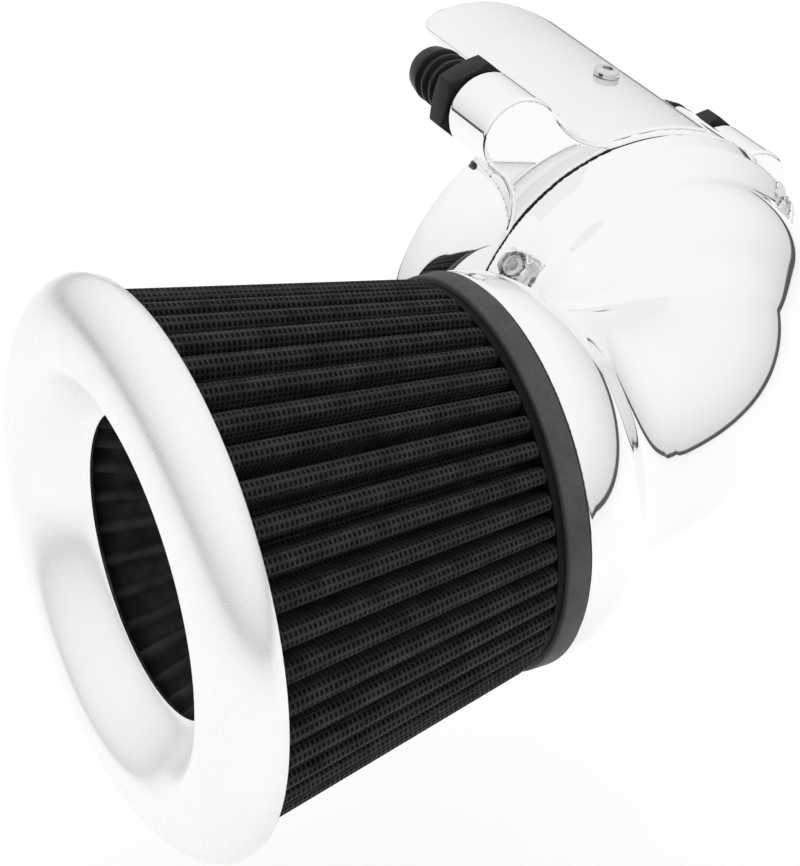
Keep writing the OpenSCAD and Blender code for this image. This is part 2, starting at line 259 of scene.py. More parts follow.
def perforated(name):
    """Steel sheet with punched holes, seen only between pleats. The holes are not cut: they are painted
    near-black, as painted shade for the dark inside seen through them.
    """
    m = Nodes(name, Metallic=1.0)
    cells = m.add("ShaderNodeTexVoronoi", feature="F1")
    cells.inputs["Scale"].default_value = 260
    cells.inputs["Randomness"].default_value = 0.15
    m.link(m.place, cells.inputs["Vector"])
    hole = m.spread(cells.outputs["Distance"], 0, 1, 0.28, 0.36)
    # holes painted near-black: painted shade for the dark inside seen through them
    tone = m.colours(hole, (0.1, grey(0.01)), (0.9, grey(0.42)))
    rough = m.spread(m.noise(300, 3), 0.35, 0.55)
    return m.finish(tone, rough, m.bump(hole, 0.0003, 0.8))


def finishes():
    """One material for each of the record's slots."""
    return {
        "trim_chrome": chrome("satin trim", 0.92, (0.25, 0.31), 0.00001),
        "cast_chrome": chrome("polished casting", 0.93, (0.025, 0.06), 0.00004),
        "panel_chrome": chrome("polished panel", 0.91, (0.05, 0.1), 0.00004),
        # the lighter wire value is partly the wires' own colour and partly painted highlight
        "filter_media": media_material("pleated gauze", 0.0008, 0.04),
        "potting": moulded("potting", 0.004, 0.01, (0.5, 0.7), 900, 0.00008, gloss=0.1),
        "screen_steel": perforated("perforated screen"),
        "base_rubber": moulded("base rubber", 0.042, 0.07, (0.5, 0.66), 1500, 0.00003, gloss=0.3),
        "bracket_steel": moulded("zinc plated steel", 0.5, 0.64, (0.28, 0.42), 1400, 0.00002, metallic=1.0),
        "seal_rubber": moulded("seal rubber", 0.01, 0.02, (0.6, 0.75), 1200, 0.00004, gloss=0.15),
        "fastener_steel": moulded("stainless steel", 0.62, 0.74, (0.14, 0.24), 2200, 0.000008, metallic=1.0),
        "black_nylon": moulded("black nylon", 0.006, 0.013, (0.36, 0.5), 1700, 0.00003, gloss=0.2),
    }


FINISHES = finishes()


# ---------------------------------------------------------------- meshes


def new_mesh(name, points, faces):
    """An object from points in millimetres."""
    mesh = bpy.data.meshes.new(name)
    mesh.from_pydata((np.asarray(points, float) * MM).tolist(), [], [list(map(int, f)) for f in faces])
    mesh.update()
    piece = bpy.data.objects.new(name, mesh)
    bpy.context.scene.collection.objects.link(piece)
    return piece


def soften(piece, angle=32):
    """Smooth shading with hard edges past an angle."""
    piece.data.shade_smooth()
    piece.data.set_sharp_from_angle(angle=math.radians(angle))


def keep(piece, node, body, slot):
    """Puts a finished piece on its body in the place of a CAD node."""
    piece.data.materials.clear()
    piece.data.materials.append(FINISHES[slot])
    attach(piece, body)
    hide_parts(node)


def grid_faces(rows, columns, wrap_rows=False, wrap_columns=True):
    """Quads of a rows by columns grid of points."""
    i = np.arange(rows if wrap_rows else rows - 1)
    j = np.arange(columns if wrap_columns else columns - 1)
    i, j = np.meshgrid(i, j, indexing="ij")
    i2, j2 = (i + 1) % rows, (j + 1) % columns
    corners = (i * columns + j, i * columns + j2, i2 * columns + j2, i2 * columns + j)
    return np.stack([c.ravel() for c in corners], 1)


def along(origin, direction):
    """Takes local Z to a direction, and the local origin to a point in millimetres."""
    turn = Vector(direction).to_track_quat("Z", "Y").to_matrix().to_4x4()
    return Matrix.Translation(Vector(origin)) @ turn


def moved(points, matrix):
    m = np.array(matrix)
    return np.asarray(points) @ m[:3, :3].T + m[:3, 3]


def lathe(name, profile, origin, direction, segments=160, ring=False):
    """Turns (radius, height) points. A ring's profile is a closed loop; a rod's ends on the axis."""
    profile = np.array(profile, float)
    angles = np.linspace(0, 2 * math.pi, segments, endpoint=False)
    r = profile[:, :1]
    points = np.stack([r * np.cos(angles), r * np.sin(angles), np.repeat(profile[:, 1:], segments, 1)], -1)
    points = moved(points.reshape(-1, 3), along(origin, direction))
    faces = list(grid_faces(len(profile), segments, wrap_rows=ring))
    if not ring:
        last = (len(profile) - 1) * segments
        faces += [list(range(segments))[::-1], list(range(last, last + segments))]
    piece = new_mesh(name, points, faces)
    face_outwards(piece)
    soften(piece)
    return piece


def face_outwards(piece):
    bm = bmesh.new()
    bm.from_mesh(piece.data)
    bmesh.ops.recalc_face_normals(bm, faces=bm.faces)
    bm.to_mesh(piece.data)
    bm.free()


def prism(name, outline, origin, direction, height, turn=0.0):
    """A straight prism on a closed outline of (x, y) points, turned about its own axis."""
    outline = np.array(outline, float)
    turned = along(origin, direction) @ Matrix.Rotation(math.radians(turn), 4, "Z")
    flat = np.concatenate([np.c_[outline, np.full(len(outline), z)] for z in (0, height)])
    n = len(outline)
    faces = list(grid_faces(2, n)) + [list(range(n))[::-1], list(range(n, 2 * n))]
    piece = new_mesh(name, moved(flat, turned), faces)
    face_outwards(piece)
    return piece


def polygon(sides, radius):
    return [(radius * math.cos(2 * math.pi * i / sides), radius * math.sin(2 * math.pi * i / sides))
            for i in range(sides)]


def combine(piece, others, operation):
    """Applies booleans and drops the other pieces."""
    for other in others:
        modifier = piece.modifiers.new("cut", "BOOLEAN")
        modifier.operation = operation
        modifier.solver = "MANIFOLD"
        modifier.object = other
    apply_modifiers(piece)
    for other in others:
        bpy.data.objects.remove(other)
    return piece


def apply_modifiers(piece):
    graph = bpy.context.evaluated_depsgraph_get()
    mesh = bpy.data.meshes.new_from_object(piece.evaluated_get(graph))
    piece.modifiers.clear()
    old, piece.data = piece.data, mesh
    bpy.data.meshes.remove(old)
    mesh.name = piece.name


def round_edges(piece, width, angle=30, segments=3):
    """Bevels the edges sharper than an angle."""
    modifier = piece.modifiers.new("round", "BEVEL")
    modifier.width = width * MM
    modifier.segments = segments
    modifier.limit_method = "ANGLE"
    modifier.angle_limit = math.radians(angle)
    apply_modifiers(piece)
    soften(piece, 40)


def join(name, pieces):
    """One mesh from several."""
    bm = bmesh.new()
    for piece in pieces:
        bm.from_mesh(piece.data)
    mesh = bpy.data.meshes.new(name)
    bm.to_mesh(mesh)
    bm.free()
    for piece in pieces:
        bpy.data.objects.remove(piece)
    joined = bpy.data.objects.new(name, mesh)
    bpy.context.scene.collection.objects.link(joined)
    return joined


# ---------------------------------------------------------------- castings from distance fields


def blend_min(a, b, width):
    """Union of two fields with a fillet."""
    h = np.maximum(width - np.abs(a - b), 0) / width
    return np.minimum(a, b) - h * h * width / 4


def blend_max(a, b, width):
    """Intersection of two fields with a rounded edge."""
    return -blend_min(-a, -b, width)


def edge_between(a, b, edge):
    """Two faces, each already moved in by the edge's radius, met by that round edge."""
    return np.minimum(np.maximum(a, b), 0) + np.hypot(np.maximum(a, 0), np.maximum(b, 0)) - edge


def outline_distance(x, y, outline):
    """Signed distance to a closed outline, below zero inside."""
    nearest = np.full(np.shape(x), 1e9)
    inside = np.zeros(np.shape(x), bool)
    for (ax, ay), (bx, by) in zip(outline, outline[1:] + outline[:1]):
        ex, ey = bx - ax, by - ay
        t = np.clip(((x - ax) * ex + (y - ay) * ey) / (ex * ex + ey * ey), 0, 1)
        nearest = np.minimum(nearest, (x - ax - ex * t) ** 2 + (y - ay - ey * t) ** 2)
        if ay != by:
            inside ^= ((ay > y) != (by > y)) & (x < ex * (y - ay) / ey + ax)
    return np.where(inside, -1, 1) * np.sqrt(nearest)


def gradient(field, points):
    """The field's slope at each point."""
    step = 0.01
    slope = np.empty_like(points)
    for axis in range(3):
        offset = np.zeros(3)
        offset[axis] = step
        slope[:, axis] = (field(points + offset) - field(points - offset)) / (2 * step)
    return slope


def onto(field, points, times):
    """Moves points onto the field's zero surface."""
    for _ in range(times):
        slope = gradient(field, points)
        size = np.maximum((slope ** 2).sum(1), 0.05)
        move = np.clip(field(points) / size, -0.8, 0.8)
        points = points - slope * move[:, None]
    return points


def surface_net(inside):
    """Cells that a grid's surface crosses, and the quads that join them."""
    corners = [inside[i:inside.shape[0] - 1 + i, j:inside.shape[1] - 1 + j, k:inside.shape[2] - 1 + k]
               for i, j, k in itertools.product((0, 1), repeat=3)]
    count = np.sum(corners, 0)
    crossed = (count > 0) & (count < 8)
    index = np.full(crossed.shape, -1)
    index[crossed] = np.arange(crossed.sum())
    quads = []
    for axis in range(3):
        flags, cells = np.moveaxis(inside, axis, 0), np.moveaxis(index, axis, 0)
        lower, upper = flags[:-1, 1:-1, 1:-1], flags[1:, 1:-1, 1:-1]
        i, j, k = np.nonzero(lower != upper)
        quad = np.stack([cells[i, j, k], cells[i, j + 1, k], cells[i, j + 1, k + 1], cells[i, j, k + 1]], 1)
        backwards = ~lower[i, j, k] ^ (axis == 1)
        quad[backwards] = quad[backwards][:, ::-1]
        quads.append(quad)
    return np.argwhere(crossed), np.concatenate(quads)


def cast(name, field, low, high, step):
    """A smooth closed mesh of a field's zero surface, inside a box."""
    axes = [np.arange(a - 2 * step, b + 3 * step, step) for a, b in zip(low, high)]
    grid = np.stack(np.meshgrid(*axes, indexing="ij"), -1)
    slices = [field(part.reshape(-1, 3)).reshape(part.shape[:-1]) for part in grid]
    cells, quads = surface_net(np.array(slices) < 0)
    points = (cells + 0.5) * step + np.array([a[0] for a in axes])
    edges = np.concatenate([quads[:, [i, (i + 1) % 4]] for i in range(4)])
    share = np.bincount(edges[:, 0], minlength=len(points))[:, None]
    points = onto(field, points, 3)
    for _ in range(6):
        total = np.stack([np.bincount(edges[:, 0], points[edges[:, 1], axis], len(points))
                          for axis in range(3)], 1)
        points = onto(field, points + 0.6 * (total / share - points), 1)
    return new_mesh(name, onto(field, points, 4), quads)


def true_normals(piece, field):
    """Takes the shading of each corner on the field's surface from the field itself."""
    soften(piece, 25)
    mesh = piece.data
    points = np.empty(len(mesh.vertices) * 3)
    mesh.vertices.foreach_get("co", points)
    points = points.reshape(-1, 3) / MM
    normals = np.empty(len(mesh.loops) * 3)
    mesh.corner_normals.foreach_get("vector", normals)
    normals = normals.reshape(-1, 3)
    vertex = np.empty(len(mesh.loops), int)
    mesh.loops.foreach_get("vertex_index", vertex)
    slope = gradient(field, points)
    slope /= np.maximum(np.linalg.norm(slope, axis=1), 1e-9)[:, None]
    near = np.abs(field(points)) < 0.02
    face_normal = np.empty(len(mesh.polygons) * 3)
    mesh.polygons.foreach_get("normal", face_normal)
    sizes = np.empty(len(mesh.polygons), int)
    mesh.polygons.foreach_get("loop_total", sizes)
    face_normal = np.repeat(face_normal.reshape(-1, 3), sizes, 0)
    agrees = (slope[vertex] * face_normal).sum(1) > 0.55
    use = near[vertex] & agrees
    normals[use] = slope[vertex][use]
    mesh.normals_split_custom_set(normals)


def on_circle(radius, degrees):
    return radius * math.cos(math.radians(degrees)), radius * math.sin(math.radians(degrees))


# ---------------------------------------------------------------- elbow


def collar_radius(x):
    """Outer radius of the mouth's collar, which narrows into the bend."""
    u = np.clip((x - MOUTH_X) / COLLAR_LENGTH, 0, 1.2)
    return MOUTH_R - (MOUTH_R - NECK_R) * u ** 2.2


def tube_radius(turn):
    """Outer radius of the bend, by how far round it is from 0 to 1."""
    start = BEND_START_R * (1 - turn) * (1 - 2 * turn)
    middle = 4 * BEND_MIDDLE_R * turn * (1 - turn)
    end = BEND_END_R * turn * (2 * turn - 1)
    return start + middle + end


def collar_field(x, y, z):
    collar_end = -42.0
    radius = np.hypot(y, z)
    fall = 2.2 * (MOUTH_R - NECK_R) / COLLAR_LENGTH
    slope = fall * np.clip((x - MOUTH_X) / COLLAR_LENGTH, 0, 1.2) ** 1.2
    side = (radius - collar_radius(x)) / np.sqrt(1 + slope ** 2)
    return blend_max(blend_max(side, MOUTH_X - x, 1.6), x - collar_end, 2)


def tube_field(x, y, z):
    """The bend: straight along X, a quarter turn, then straight along Y."""
    neck_start, run_end, neck_taper = -60.0, 45.0, 0.21
    cx, cy = x + BEND_R, BEND_R - y
    turn = np.clip(np.arctan2(cx, cy) / (math.pi / 2), 0, 1)
    arc = np.hypot(np.hypot(cx, cy) - BEND_R, z) - tube_radius(turn)
    before = np.hypot(y, z) - BEND_START_R - neck_taper * (-BEND_R - x)
    after = np.hypot(x, z) - BEND_END_R
    inner = np.where(cx < 0, before, np.where(cy < 0, after, arc))
    ends = np.maximum(neck_start - x, y - run_end)
    return np.maximum(inner * 0.95, ends)


def dome_field(x, y, z):
    """Half an ellipsoid that swells out of the flange towards the mouth."""
    radius, depth, base_y, rim = 49.0, 31.0, 36.0, 2.0
    r, s = np.hypot(x, z), y - base_y
    a = np.sqrt((r / radius) ** 2 + (s / depth) ** 2)
    b = np.sqrt((r / radius ** 2) ** 2 + (s / depth ** 2) ** 2)
    return np.maximum(a * (a - 1) / np.maximum(b, 1e-6), s - rim)


FLANGE_OUTLINE = [(0.0, 48.7), (55.8, 48.7), (54.6, 43.6), (48.0, 36.3), (0.0, 33.0)]


def flange_field(x, y, z):
    edge = 0.7
    return outline_distance(np.hypot(x, z), y, FLANGE_OUTLINE) - edge


def elbow_field(points):
    """Collar, bend, dome and flange in one casting, notched for the flange screws."""
    x, y, z = points[:, 0], points[:, 1] - AXIS_Y, points[:, 2]
    body = blend_min(collar_field(x, y, z), tube_field(x, y, z), 6.0)
    body = blend_min(body, dome_field(x, y, z), 5.0)
    body = blend_min(body, flange_field(x, y, z), 1.6)
    spigot_ends = np.abs(x - MOUTH_X + SPIGOT_LENGTH / 2) - SPIGOT_LENGTH / 2
    body = np.minimum(body, np.maximum(np.hypot(y, z) - SPIGOT_R, spigot_ends))
    for angle in FLANGE_SCREWS:
        sx, sz = on_circle(FLANGE_SCREW_R, angle)
        notch = np.maximum(np.hypot(x - sx, z - sz) - NOTCH_R, np.abs(y - NOTCH_MIDDLE) - NOTCH_HALF)
        body = blend_max(body, -notch, 0.8)
    return body


def elbow_liner():
    """The passage from the mouth to the manifold, as one closed tube."""
    outside, taper_start, taper_length = -95.0, -78.0, 40.0
    wide, narrow, widening = 42.0, 28.5, 7.5
    rings = [((outside, 0.0), 0.0, wide), ((taper_start, 0.0), 0.0, wide)]
    for i in range(1, 9):
        u = i / 8
        radius = wide - (wide - narrow) * u * u * (3 - 2 * u)
        rings.append(((taper_start + taper_length * u, 0.0), 0.0, radius))
    for i in range(1, 19):
        turn = i / 18
        angle = turn * math.pi / 2
        centre = (-BEND_R + BEND_R * math.sin(angle), BEND_R - BEND_R * math.cos(angle))
        rings.append((centre, angle, narrow + widening * max(turn - 0.4, 0) / 0.6))
    rings += [((0.0, y), math.pi / 2, r) for y, r in ((40.0, 41.0), (43.0, CHAMBER_R), (60.0, CHAMBER_R))]
    segments = 96
    angles = np.linspace(0, 2 * math.pi, segments, endpoint=False)
    points = []
    for (x, y), turn, radius in rings:
        side = radius * np.cos(angles)
        points.append(np.c_[x + side * math.sin(turn), y - side * math.cos(turn) + AXIS_Y,
                            radius * np.sin(angles)])
    faces = list(grid_faces(len(rings), segments))
    last = (len(rings) - 1) * segments
    faces += [list(range(segments))[::-1], list(range(last, last + segments))]
    liner = new_mesh("liner", np.concatenate(points), faces)
    face_outwards(liner)
    return liner


def screw_hole(angle, radius, start, end, size):
    x, z = on_circle(radius, angle)
    return prism("hole", polygon(40, size), (x, start, z), (0, 1, 0), end - start)


def build_elbow():
    piece = cast("elbow_casting", elbow_field, ELBOW_LOW, ELBOW_HIGH, 1.0)
    holes = [screw_hole(a, FLANGE_SCREW_R, FLANGE_Y - 8, FLANGE_Y + 2, 2.3) for a in FLANGE_SCREWS]
    combine(piece, [elbow_liner(), *holes], "DIFFERENCE")
    true_normals(piece, elbow_field)
    keep(piece, "elbow", "intake", "cast_chrome")


# ---------------------------------------------------------------- manifold


def fillet_centre(lobe, fillet, side):
    """Centre of the circle that touches the flange's circle and a lobe from outside."""
    d = math.hypot(*lobe)
    a, b = FLANGE_R + fillet, LOBE_R + fillet
    s = (d * d + a * a - b * b) / (2 * d)
    t = math.sqrt(a * a - s * s) * side
    ux, uz = lobe[0] / d, lobe[1] / d
    return ux * s - uz * t, uz * s + ux * t


def web_field(x, z, lobe):
    """The web that runs from the round body out to a lobe, hollowed by its two fillets."""
    left, right = 15.5, 25.0
    first, second = fillet_centre(lobe, left, 1), fillet_centre(lobe, right, -1)
    web = outline_distance(x, z, [(0.0, 0.0), second, lobe, first])
    web = np.maximum(web, left - np.hypot(x - first[0], z - first[1]))
    return np.maximum(web, right - np.hypot(x - second[0], z - second[1]))


def manifold_field(points):
    """The flared body with its two lobes, its rim rounded, stepped to let the cover panel in."""
    x, y, z = points[:, 0], points[:, 1], points[:, 2]
    back = 1 - (1 - np.clip((y - FRONT_Y) / -FRONT_Y, 0, 1)) ** 2
    outline = np.hypot(x + FLARE_SHIFT * back, z) - (FLANGE_R + (FLARE_R - FLANGE_R) * back)
    outline = np.minimum(outline * 0.85, web_field(x, z, LEFT_LOBE))
    for lobe in (LEFT_LOBE, RIGHT_LOBE):
        outline = np.minimum(outline, np.hypot(x - lobe[0], z - lobe[1]) - LOBE_R)
    half, edge = -FRONT_Y / 2, 1.1
    body = edge_between(outline + edge, np.abs(y + half) - half + edge, edge)
    radius, angle = np.hypot(x, z), np.degrees(np.arctan2(z, x))
    middle, reach = sum(PANEL_ANGLES) / 2, (PANEL_ANGLES[1] - PANEL_ANGLES[0]) / 2 + 0.6
    beside = np.radians(np.abs(angle - middle) - reach) * radius
    slot = np.maximum(np.maximum(PANEL_R - PANEL_T - 0.1 - radius, beside), PANEL_LOW[1] - 0.2 - y)
    return blend_max(body, -slot, 0.5)


def panel_screw_line():
    """Middle of the panel screw's head and the direction it points in."""
    angle = math.radians(PANEL_SCREW_ANGLE)
    return (SCREW_LOW[1] + SCREW_HIGH[1]) / 2, Vector((math.cos(angle), 0, math.sin(angle)))


def arm_piece():
    """Arm behind the manifold that the cover panel is screwed to."""
    y, up = panel_screw_line()
    outline = [(-8, 46), (8, 46)]
    reach = PANEL_R - PANEL_T - 0.05
    outline += [(x, math.sqrt(reach ** 2 - x ** 2)) for x in np.linspace(8, -8, 9)]
    points = []
    across = Vector((up.z, 0, -up.x))
    for depth in (-10.0, y + 8.0):
        points += [across * a + up * b + Vector((0, depth, 0)) for a, b in outline]
    n = len(outline)
    faces = list(grid_faces(2, n)) + [list(range(n))[::-1], list(range(n, 2 * n))]
    arm = new_mesh("arm", [tuple(p) for p in points], faces)
    face_outwards(arm)
    round_edges(arm, 0.8)
    return arm


def build_manifold():
    piece = cast("manifold_casting", manifold_field, BODY_LOW, (BODY_HIGH[0], 0.0, BODY_HIGH[2]), 0.75)
    combine(piece, [arm_piece()], "UNION")
    start = FRONT_Y - 1
    deep = FLOOR_Y - start
    corner = [(CHAMBER_R - 3 + 3 * math.sin(t), 3 - 3 * math.cos(t)) for t in np.linspace(0, math.pi / 2, 7)]
    cutters = [lathe("chamber", [(1, 0)] + corner + [(CHAMBER_R, deep)], (0, FLOOR_Y, 0), (0, -1, 0), 120)]
    lead = 1.0
    bore = [(THROTTLE_R + lead + 1, 0), (THROTTLE_R + lead, 1), (THROTTLE_R, 1 + lead),
            (THROTTLE_R, 9 - lead), (THROTTLE_R + lead, 10), (THROTTLE_R + lead + 1, 11)]
    cutters.append(lathe("bore", bore, (0, FLOOR_Y - 1, 0), (0, 1, 0), 120))
    cutters += [screw_hole(a, THROTTLE_SCREW_R, FLOOR_Y - 1, 1, 3.3) for a in THROTTLE_SCREWS]
    cutters += [screw_hole(a, FLANGE_SCREW_R, FRONT_Y - 1, FRONT_Y + 8, 2.05) for a in FLANGE_SCREWS]
    for lobe in (LEFT_LOBE, RIGHT_LOBE):
        cutters.append(prism("port", polygon(40, 6.05), (lobe[0], -9, lobe[1]), (0, 1, 0), 11))
        away = Vector((lobe[0], 0, lobe[1]))
        cutters.append(prism("gallery", polygon(24, 3), (0, -5, 0), away, away.length))
    inside, outside = SEAL_GROOVE
    groove = [(inside, -1), (outside, -1), (outside, 1), (inside, 1)]
    cutters.append(lathe("groove", groove, (0, 0, 0), (0, 1, 0), 160, ring=True))
    y, up = panel_screw_line()
    cutters.append(prism("panel_hole", polygon(32, 2.05), Vector((0, y, 0)) + up * 44, up, 20))
    combine(piece, cutters, "DIFFERENCE")
    true_normals(piece, manifold_field)
    keep(piece, "manifold", "intake", "cast_chrome")


# ---------------------------------------------------------------- cover panel


def panel_field(points):
    """The rolled sheet: its plan with two round end corners, laid round the Y axis."""
    x, y, z = points[:, 0], points[:, 1], points[:, 2]
    left, right, start, end = PANEL_LOW[0], PANEL_HIGH[0], PANEL_LOW[1], PANEL_HIGH[1]
    small, large = 8.0, 18.0
    middle = (left + right) / 2
    corner = np.where(x < middle, small, large)
    a = np.where(x < middle, left - x, x - right) + corner
    b = np.where(y > 0, y - end, start - y)
    b = np.where(y > 0, b + corner, b + 1.0)
    corner = np.where(y > 0, corner, 1.0)
    a = np.where(y > 0, a, np.where(x < middle, left - x, x - right) + 1.0)
    plan = edge_between(a, b, corner)
    half, edge = PANEL_T / 2, 0.7
    return edge_between(plan + edge, np.abs(np.hypot(x, z) - PANEL_R + half) - half + edge, edge)


def build_panel():
    piece = cast("cover_plate", panel_field, PANEL_LOW, PANEL_HIGH, 0.7)
    y, up = panel_screw_line()
    hole = prism("hole", polygon(32, 2.3), Vector((0, y, 0)) + up * 44, up, 20)
    combine(piece, [hole], "DIFFERENCE")
    true_normals(piece, panel_field)
    keep(piece, "cover_panel", "intake", "panel_chrome")


# ---------------------------------------------------------------- trim ring and rubber base


def ring_outline(inset):
    """The trim ring's skin, by radius and distance forward of its back edge."""
    lip, side, edge = 56.0, RING_HIGH[2] - inset, RING_HIGH[2] - 0.8 - inset
    throat = THROAT_R + inset
    front, side_at = RING_HIGH[0] - RING_LOW[0] - 0.4 - inset, 3.0
    points = [(edge, 0.0)]
    for angle in np.radians(np.arange(0, 91, 3)):
        points.append((lip + (side - lip) * math.cos(angle), side_at + (front - side_at) * math.sin(angle)))
    for u in np.arange(0.02, 1.001, 0.035):
        ease = u * u * (3 - 2 * u)
        points.append((lip + (throat - lip) * (0.55 * u + 0.45 * u ** 0.8),
                       front + (0.6 - front) * (0.35 * u + 0.65 * ease)))
    return points


def build_ring():
    wall = 2.4
    outer, inner = ring_outline(0.0), ring_outline(wall)
    throat = [(THROAT_R, 0.2), (THROAT_R + 0.2, -0.2), (THROAT_R + 0.4, -0.4), (THROAT_R + 1.4, -0.4),
              (THROAT_R + 1.6, -0.2), (THROAT_R + 1.8, 0.5)]
    inner_r, outer_r = inner[0][0], outer[0][0]
    back = [(inner_r, 0.5), (inner_r + 0.5, 0.0), (outer_r - 0.5, 0.0), (outer_r - 0.1, 0.35)]
    profile = back + outer[1:] + throat + inner[:0:-1]
    origin = (RING_HIGH[0] - 0.4, AXIS_Y, 0)
    piece = lathe("trim_ring_shell", profile, origin, (-1, 0, 0), 240, ring=True)
    keep(piece, "trim_ring", "filter", "trim_chrome")


def rounded_band(r0, r1, length, edge):
    """Closed profile of a band with rounded corners."""
    points = []
    for (r, s), start in (((r1, 0), -90), ((r1, length), 0), ((r0, length), 90), ((r0, 0), 180)):
        centre = (r - edge if r == r1 else r + edge, s + edge if s == 0 else s - edge)
        for angle in np.radians(start + np.linspace(0, 90, 5)):
            points.append((centre[0] + edge * math.cos(angle), centre[1] + edge * math.sin(angle)))
    return points


def build_base():
    length = BASE_HIGH[0] - BASE_LOW[0]
    profile = rounded_band(SPIGOT_R + 0.05, BASE_HIGH[2], length, 0.7)
    piece = lathe("rubber_base_band", profile, (BASE_LOW[0], AXIS_Y, 0), (1, 0, 0), 200, ring=True)
    keep(piece, "rubber_base", "filter", "base_rubber")


# ---------------------------------------------------------------- pleated media


def pleat_path(pitch, depth):
    """One pleat's (sideways, inwards, wire count, relief) points, from a valley over the crest."""
    crest, valley = 0.31 * pitch, 0.15 * pitch
    path = []
    steps = 8
    for i in range(steps + 1):
        angle = -math.pi / 2 + math.pi * i / steps
        wire = 1 - i % 2
        path.append((crest * math.sin(angle), crest - crest * math.cos(angle), i / 2, wire))
    half = pitch / 2
    flank = depth - valley
    path.append((half - valley, flank, 7.0, 0))
    path.append((half, depth, 8.0, 0))
    path.append((half + valley, flank, 9.0, 0))
    return path


def pleated(name, count, x0, x1, r0, r1, depth, thick, relief):
    """A pleated cone: a closed folded sheet whose outer side carries the wire grid in relief."""
    rows = 2 * round(abs(x1 - x0) / 1.4)
    columns = len(pleat_path(1.0, 1.0))
    outer = np.empty((rows + 1, count * columns, 3))
    threads = np.empty((rows + 1, count * columns, 2))
    inner = np.empty((2, count * columns, 3))
    fade = 2.2
    for row in range(rows + 1):
        t = row / rows
        x = x0 + (x1 - x0) * t
        top = r0 + (r1 - r0) * t
        path = pleat_path(2 * math.pi * top / count, depth * top / r0)
        near_end = max(fade - abs(x1 - x), 0) / fade
        drop = 1.5 * (1 - math.sqrt(max(1 - near_end ** 2, 0)))
        for column, (side, inward, wires, raised) in enumerate(path):
            lift = relief * max(raised, 1 - row % 2) * (inward < depth * 0.6)
            radius = top - inward + lift - (drop if inward < depth * 0.5 else 0)
            for pleat in range(count):
                angle = 2 * math.pi * pleat / count + side / top
                at = pleat * columns + column
                outer[row, at] = (x, radius * math.cos(angle), radius * math.sin(angle))
                threads[row, at] = (wires, row / 2)
                if row in (0, rows):
                    under = top - inward - thick
                    inner[row // rows, at] = (x, under * math.cos(angle), under * math.sin(angle))
    around = count * columns
    n = (rows + 1) * around
    faces = list(grid_faces(rows + 1, around))
    faces += list(grid_faces(2, around)[:, ::-1] + n)
    for row, start in ((0, n), (rows, n + around)):
        a = np.arange(around)
        b = (a + 1) % around
        strip = np.stack([row * around + b, row * around + a, start + a, start + b], 1)
        faces += list(strip if row == 0 else strip[:, ::-1])
    points = np.concatenate([outer.reshape(-1, 3), inner.reshape(-1, 3)]) + (0, AXIS_Y, 0)
    piece = new_mesh(name, points, faces)
    face_outwards(piece)
    piece.data.shade_smooth()
    uv = piece.data.uv_layers.new(name="threads")
    vertex = np.empty(len(piece.data.loops), int)
    piece.data.loops.foreach_get("vertex_index", vertex)
    flat = np.concatenate([threads.reshape(-1, 2), np.zeros((2 * around, 2))])
    uv.data.foreach_set("uv", flat[vertex].ravel())
    return piece


def build_media():
    piece = pleated("outer_gauze", OUTER_PLEATS, MEDIA_LOW[0], MEDIA_HIGH[0],
                    MEDIA_HIGH[2], MEDIA_SMALL_R, PLEAT_DEPTH, MEDIA_T, 0.14)
    keep(piece, "outer_media", "filter", "filter_media")
    piece = pleated("inner_gauze", INNER_PLEATS, INNER_LOW[0], INNER_HIGH[0],
                    INNER_HIGH[2], INNER_SMALL_R, INNER_PLEAT_DEPTH, MEDIA_T, 0.1)
    keep(piece, "inner_media", "filter", "filter_media")


# ---------------------------------------------------------------- screws and fittings


def socket_screw(name, seat, direction, shank, head, height, length):
    """A round headed screw with a hexagon socket. The direction points out of the head."""
    dome = [(head, 0.3), (head, height * 0.5)]
    dome += [(head * (0.72 + 0.28 * math.cos(t)), height * (0.5 + 0.5 * math.sin(t)))
             for t in np.linspace(0.2, math.pi / 2, 6)]
    thread = []
    for i in range(int(length / 0.7)):
        at = -length + 0.7 * i
        thread += [(shank * 0.9, at), (shank, at + 0.35)]
    profile = [(shank * 0.6, -length - 0.4)] + thread + [(shank, -0.2), (shank, 0), (head - 0.3, 0)] + dome
    profile += [(0.02, height)]
    piece = lathe(name, profile, seat, direction, 48)
    socket = prism("socket", polygon(6, head * 0.46), Vector(seat) + Vector(direction) * height * 0.42,
                   direction, height)
    return combine(piece, [socket], "DIFFERENCE")


def screw_circle(name, node, angles, radius, seat_y, **sizes):
    """Screws on a circle, whose heads face the elbow."""
    pieces = []
    for angle in angles:
        x, z = on_circle(radius, angle)
        pieces.append(socket_screw("screw", (x, seat_y, z), (0, -1, 0), **sizes))
    piece = join(name, pieces)
    soften(piece)
    keep(piece, node, "intake", "fastener_steel")


def build_screws():
    screw_circle("flange_screw_set", "flange_screws", FLANGE_SCREWS, FLANGE_SCREW_R,
                 FLANGE_Y - 3.5, shank=2.0, head=3.75, height=3.5, length=10.5)
    screw_circle("throttle_screw_set", "throttle_screws", THROTTLE_SCREWS, THROTTLE_SCREW_R,
                 FLOOR_Y - 1.2, shank=3.0, head=5.0, height=4.9, length=23.5)
    y, up = panel_screw_line()
    seat = Vector((0, y, 0)) + up * PANEL_R
    piece = socket_screw("panel_button_screw", seat, up, shank=2.0, head=3.9, height=2.4, length=7.5)
    soften(piece)
    keep(piece, "cover_screw", "intake", "fastener_steel")


